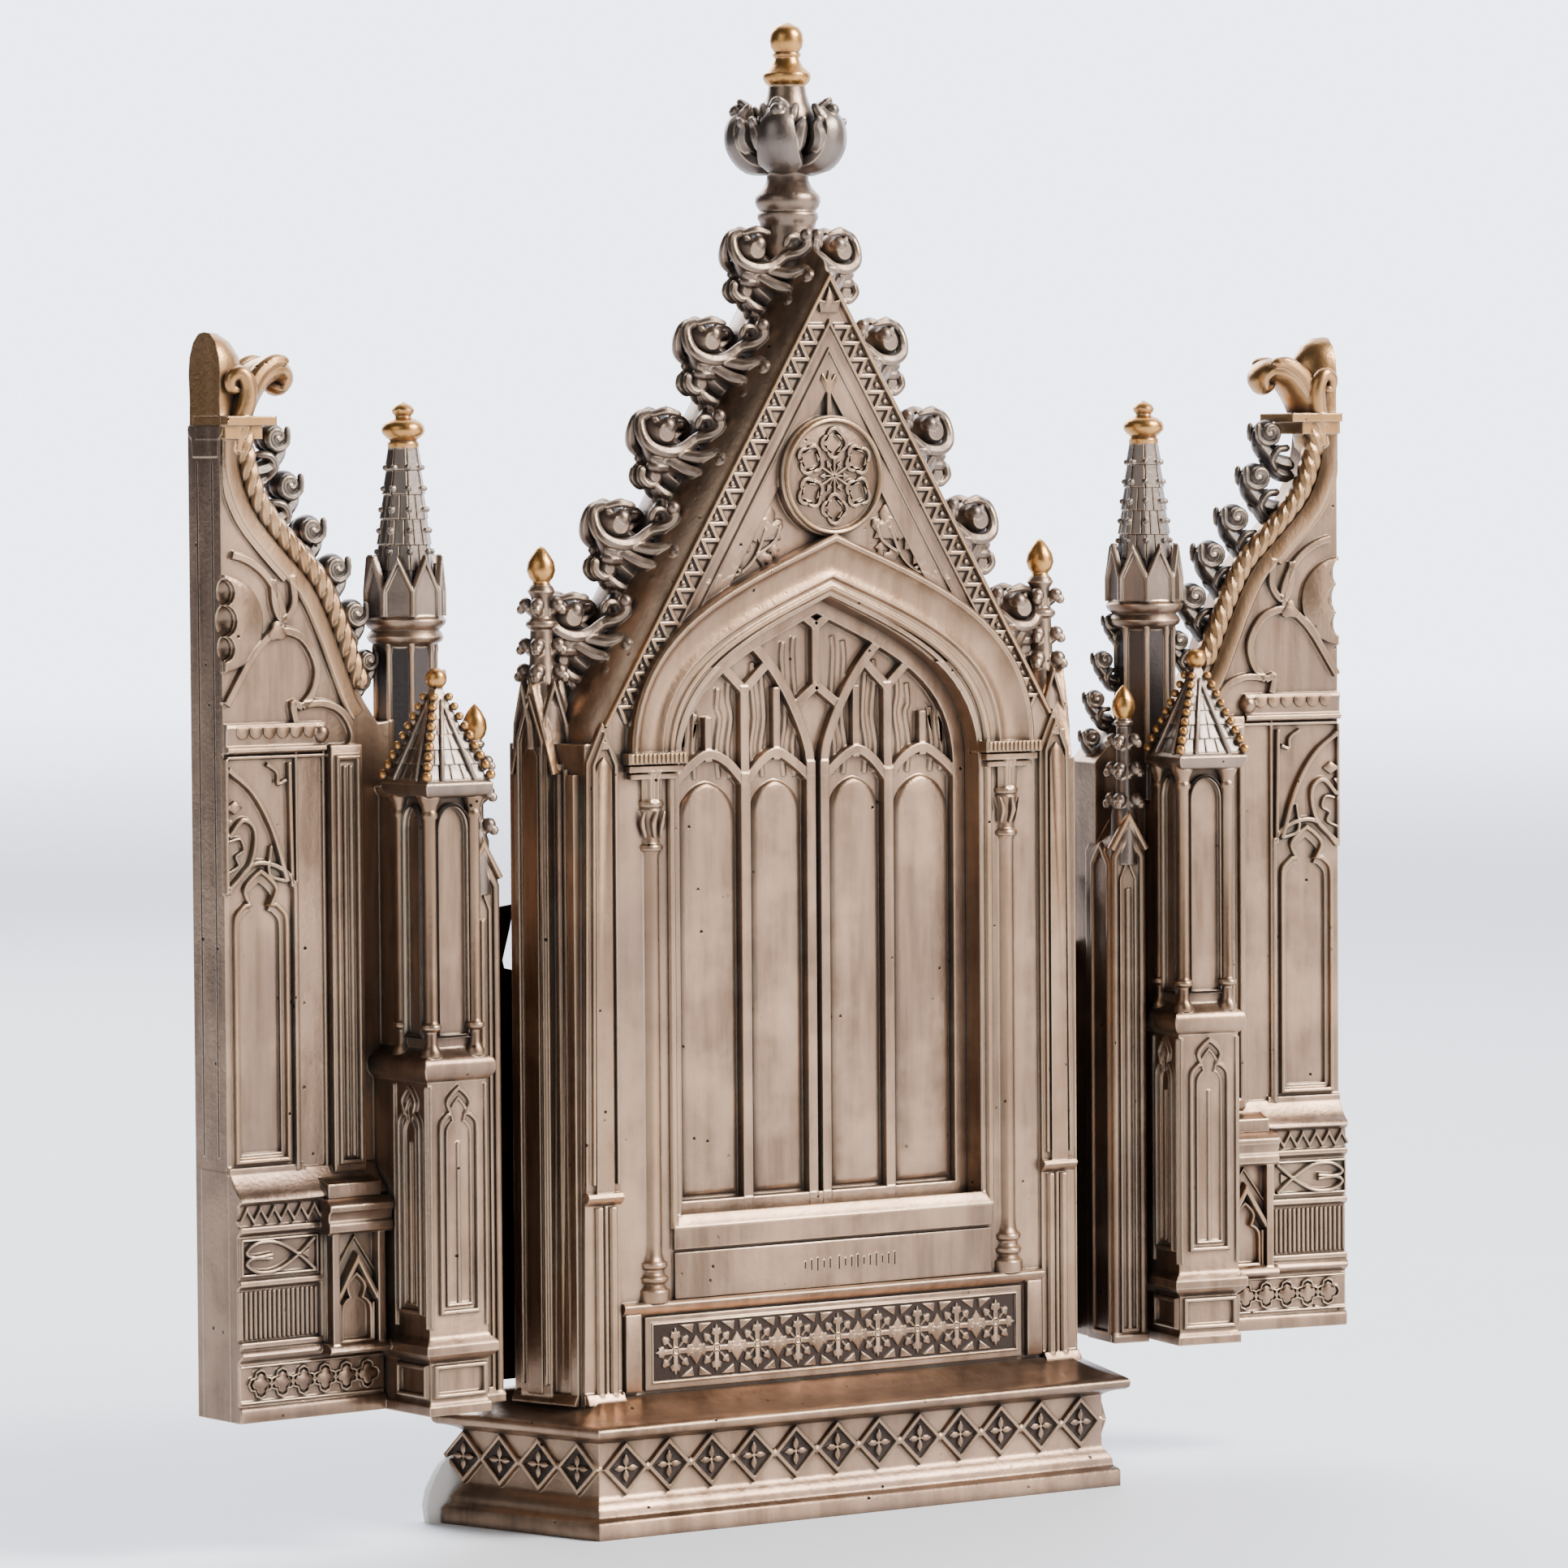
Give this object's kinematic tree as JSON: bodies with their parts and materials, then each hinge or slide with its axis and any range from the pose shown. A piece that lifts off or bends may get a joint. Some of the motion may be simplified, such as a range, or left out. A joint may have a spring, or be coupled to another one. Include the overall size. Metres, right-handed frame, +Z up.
{
  "type": "triptych altarpiece",
  "caption": "Gothic triptych altarpiece in cold-cast bronze: gabled centre shrine with a blind window on its back, and two hinged wings shaped as the halves of a cathedral front",
  "frame": {"origin": "middle of the bounding box, on the floor", "axes": "+Z up, +Y towards the open front of the shrine, -Y the side with the blind window, +X to the right when seen from -Y"},
  "size_m": [0.2682, 0.0474, 0.3],
  "materials": {
    "bronze": "brown patinated cast bronze, rubbed bright on the edges",
    "dark_bronze": "dark lacquered strip",
    "white_paint": "matt ivory-white paint on cast resin"
  },
  "bodies": {
    "shrine": {"centre_shrine": "bronze", "drapery_fold": "white_paint", "left_hinge_fixed_leaf": "dark_bronze", "left_hinge_pin": "dark_bronze", "right_hinge_fixed_leaf": "dark_bronze", "right_hinge_pin": "dark_bronze"},
    "left_wing_body": {"left_wing": "bronze", "left_hinge_wing_leaf": "dark_bronze"},
    "right_wing_body": {"right_wing": "bronze", "right_hinge_wing_leaf": "dark_bronze"}
  },
  "joints": [
    {"name": "left_wing_hinge", "type": "hinge", "parent": "shrine", "child": "left_wing_body", "pos_m": [-0.06708, 0.01591, 0.07], "axis": [0, 0, -1], "range_deg": [-7.5, 184.5]},
    {"name": "right_wing_hinge", "type": "hinge", "parent": "shrine", "child": "right_wing_body", "pos_m": [0.06772, 0.01591, 0.07], "axis": [0, 0, 1], "range_deg": [-3, 189]}
  ]
}
